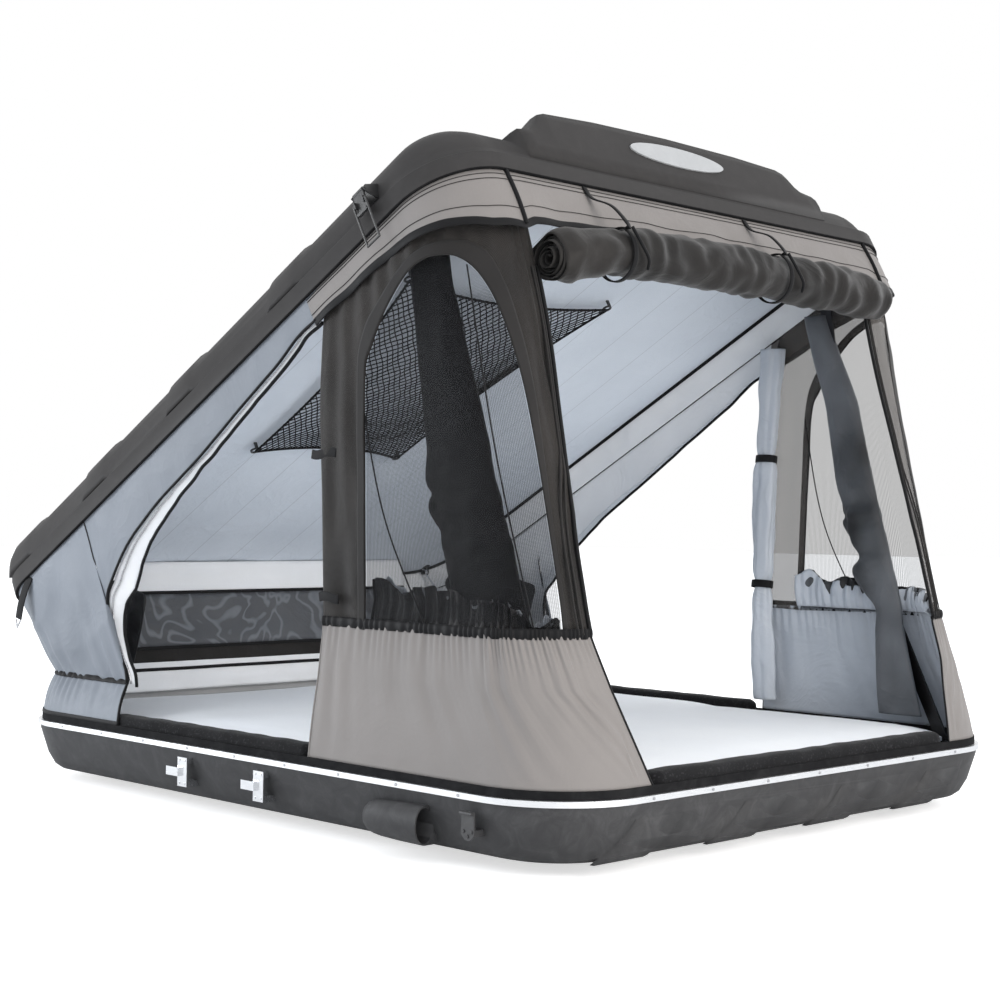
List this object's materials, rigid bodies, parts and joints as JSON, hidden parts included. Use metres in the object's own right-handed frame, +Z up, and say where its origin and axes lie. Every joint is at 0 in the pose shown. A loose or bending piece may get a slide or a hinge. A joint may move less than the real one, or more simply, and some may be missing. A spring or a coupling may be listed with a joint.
{
  "type": "roof top tent",
  "caption": "Hard shell roof top tent standing open: tilted moulded lid, tub base, fabric walls with rolled doors, mattress, storage net, latches and lifting arms.",
  "frame": {"origin": "Middle of the flat underside of the base tub, where the tent rests on the roof bars.", "axes": "+X runs along the tent towards the tall end, +Y across it, +Z up. The near side in the picture is -Y."},
  "size_m": [2.0834, 1.652, 1.5365],
  "materials": {
    "tub_plastic": "moulded, fine grain",
    "lid_plastic": "moulded, satin",
    "badge_plastic": "blank badge area",
    "rail_aluminium": "extruded",
    "bearer_plastic": "plain",
    "floor_board": "panel",
    "mattress_fabric": "white ticking",
    "trim_metal": "bright band",
    "rivet_metal": "domed heads",
    "black_rubber": "seal",
    "black_pad": "padded sill",
    "bracket_metal": "polished",
    "dark_plastic": "satin",
    "plated_steel": "zinc plated",
    "arm_steel": "grey paint",
    "strut_black": "gloss black",
    "rod_steel": "ground and plated",
    "liner_fabric": "quilted silver blue",
    "latch_black": "black coating",
    "net_cord": "elastic mesh",
    "webbing": "woven",
    "skirt_fabric": "coated taupe",
    "wall_fabric": "coated blue grey",
    "window_mesh": "dark mesh",
    "roll_fabric": "dark brown canvas",
    "sleeve_fabric": "coated black"
  },
  "bodies": {
    "base": {"base_tub": "tub_plastic", "mount_rails": "rail_aluminium", "floor_bearers": "bearer_plastic", "floor_panel": "floor_board", "mattress": "mattress_fabric", "trim_band": "trim_metal", "trim_rivets": "rivet_metal", "rim_channel": "black_rubber", "side_sill_left": "black_pad", "side_sill_right": "black_pad", "end_sill": "black_pad", "ladder_brackets": "bracket_metal", "latch_strikes": "dark_plastic", "side_scoop_left": "dark_plastic", "side_scoop_right": "dark_plastic", "base_pivot_brackets": "plated_steel", "low_skirt": "wall_fabric", "skirt_left": "skirt_fabric", "skirt_right": "skirt_fabric", "side_door_roll_left": "roll_fabric", "side_door_roll_right": "roll_fabric", "arm_sleeve_left": "sleeve_fabric", "arm_sleeve_right": "sleeve_fabric"},
    "strut_tubes": {"strut_tube_left": "strut_black", "strut_tube_right": "strut_black"},
    "strut_rods": {"strut_rod_left": "rod_steel", "strut_rod_right": "rod_steel"},
    "lower_arms": {"lower_arm_left": "arm_steel", "lower_arm_right": "arm_steel"},
    "lid": {"lid_shell": "lid_plastic", "lid_seal": "black_rubber", "lid_liner": "liner_fabric", "badge_plate": "badge_plastic", "lid_pivot_brackets": "plated_steel", "latch_bracket_left": "latch_black", "latch_bracket_right": "latch_black", "storage_net": "net_cord", "net_hooks": "webbing", "strap_hook": "latch_black", "side_wall_left": "wall_fabric", "side_wall_right": "wall_fabric", "low_end_wall": "wall_fabric", "corner_window_left": "window_mesh", "corner_window_right": "window_mesh", "valance": "skirt_fabric", "end_door_roll": "roll_fabric", "roll_straps": "webbing", "strut_sleeve_left": "sleeve_fabric", "strut_sleeve_right": "sleeve_fabric", "closing_strap": "webbing"},
    "upper_arms": {"upper_arm_left": "arm_steel", "upper_arm_right": "arm_steel"},
    "lever_left": {"latch_lever_left": "latch_black"},
    "lever_right": {"latch_lever_right": "latch_black"},
    "bail_left": {"latch_bail_left": "latch_black"},
    "bail_right": {"latch_bail_right": "latch_black"}
  },
  "joints": [
    {"name": "strut_swing", "type": "hinge", "parent": "base", "child": "strut_tubes", "pos_m": [-0.61, 0, 0.105], "axis": [0, -1, 0], "range_deg": [0, 25.92]},
    {"name": "strut_stroke", "type": "slide", "parent": "strut_tubes", "child": "strut_rods", "axis": [-0.758, 0, 0.6522], "range_m": [-0.24372, 0]},
    {"name": "lid_tilt", "type": "hinge", "parent": "strut_rods", "child": "lid", "pos_m": [-1.04564, 0, 0.47982], "axis": [0, 1, 0], "range_deg": [0, 54.92], "stiffness_Nm_per_rad": 200, "springref_deg": -114.59, "deforming": ["low_skirt", "skirt_left", "skirt_right", "side_door_roll_left", "side_door_roll_right", "arm_sleeve_left", "arm_sleeve_right", "side_wall_left", "side_wall_right", "low_end_wall", "corner_window_left", "corner_window_right", "valance", "end_door_roll", "roll_straps", "strut_sleeve_left", "strut_sleeve_right", "closing_strap"]},
    {"name": "lower_arm_swing", "type": "hinge", "parent": "base", "child": "lower_arms", "pos_m": [0.85, 0, 0.112], "axis": [0, -1, 0], "range_deg": [0, 64]},
    {"name": "upper_arm_swing", "type": "hinge", "parent": "lid", "child": "upper_arms", "pos_m": [0.48487, 0, 1.25616], "axis": [0, 1, 0], "range_deg": [0, 68.01]},
    {"name": "latch_lever_turn_left", "type": "hinge", "parent": "lid", "child": "lever_left", "pos_m": [0.41937, -0.814, 1.31246], "axis": [-0.8746, 0, -0.4848], "range_deg": [0, 150]},
    {"name": "latch_bail_swing_left", "type": "hinge", "parent": "lever_left", "child": "bail_left", "pos_m": [0.431, -0.8225, 1.29147], "axis": [-0.8746, 0, -0.4848], "range_deg": [-6.24, 60]},
    {"name": "latch_lever_turn_right", "type": "hinge", "parent": "lid", "child": "lever_right", "pos_m": [0.41937, 0.814, 1.31246], "axis": [0.8746, 0, 0.4848], "range_deg": [0, 150]},
    {"name": "latch_bail_swing_right", "type": "hinge", "parent": "lever_right", "child": "bail_right", "pos_m": [0.431, 0.8225, 1.29147], "axis": [0.8746, 0, 0.4848], "range_deg": [-6.24, 60]}
  ],
  "couplings": [
    {"joint": "strut_swing", "follows": "lid_tilt", "ratio": 0.47192},
    {"joint": "strut_stroke", "follows": "lid_tilt", "m_per_rad": -0.25429},
    {"joint": "lower_arm_swing", "follows": "lid_tilt", "ratio": 1.1654},
    {"joint": "upper_arm_swing", "follows": "lid_tilt", "ratio": 1.2385}
  ]
}
